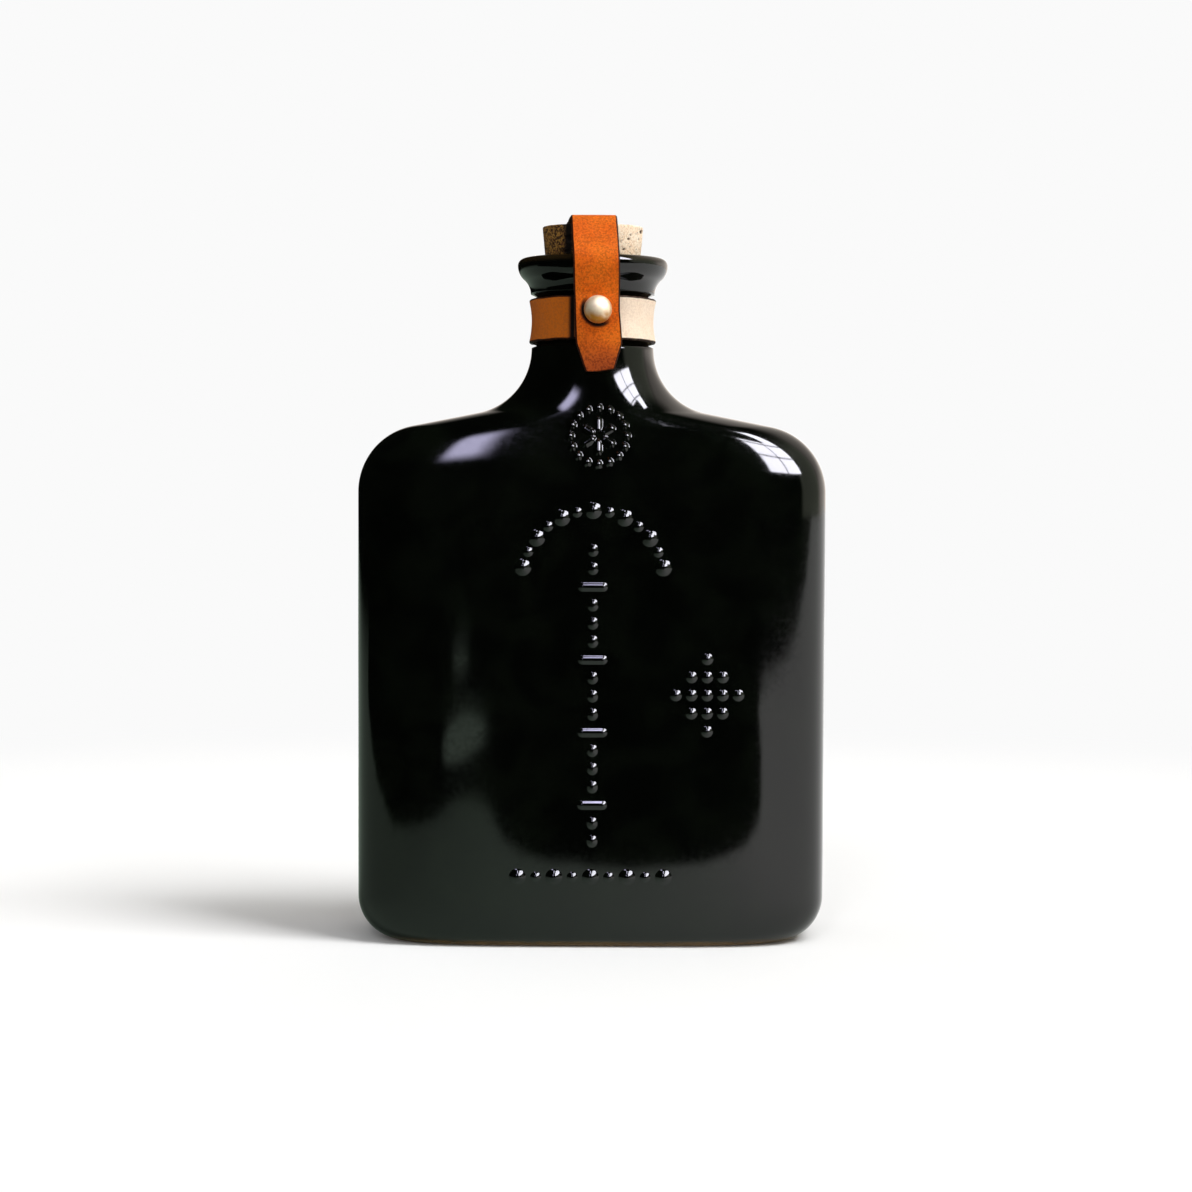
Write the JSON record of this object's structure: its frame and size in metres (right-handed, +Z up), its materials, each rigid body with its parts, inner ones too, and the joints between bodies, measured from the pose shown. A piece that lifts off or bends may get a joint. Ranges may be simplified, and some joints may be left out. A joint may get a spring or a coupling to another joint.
{
  "type": "flask",
  "caption": "Flat-sided glazed ceramic flask with sloping shoulders, a tapered cork, a leather band round the neck and a strap that buttons over the cork on a ball stud.",
  "frame": {"origin": "middle of the flat base, on the surface that the flask stands on", "axes": "+Z up along the neck's axis, +X along the wide face, -Y out of the front face, where the stud is"},
  "size_m": [0.0946, 0.0394, 0.1459],
  "materials": {
    "glaze": "gloss",
    "cork": "matte cork",
    "natural_leather": "satin",
    "russet_leather": "satin",
    "brass": "polished"
  },
  "bodies": {
    "flask": {"flask_body": "glaze"},
    "stopper": {"cork": "cork"},
    "collar": {"neck_band": "natural_leather", "strap_tail": "russet_leather", "ball_stud": "brass", "stud_screw": "brass", "rivet_cap": "brass", "rivet_post": "brass"},
    "strap": {"strap": "russet_leather"}
  },
  "joints": [
    {"name": "cork_pull", "type": "slide", "parent": "flask", "child": "stopper", "axis": [0, 0, 1], "range_m": [0, 0.03]},
    {"name": "collar_turn", "type": "hinge", "parent": "flask", "child": "collar", "pos_m": [0, 0, 0.1248], "axis": [0, 0, 1], "continuous": true},
    {"name": "strap_swing", "type": "hinge", "parent": "collar", "child": "strap", "pos_m": [-0.00095, 0.01558, 0.13057], "axis": [-0.9981, -0.0611, 0], "range_deg": [0, 150], "deforming": ["strap"]}
  ]
}
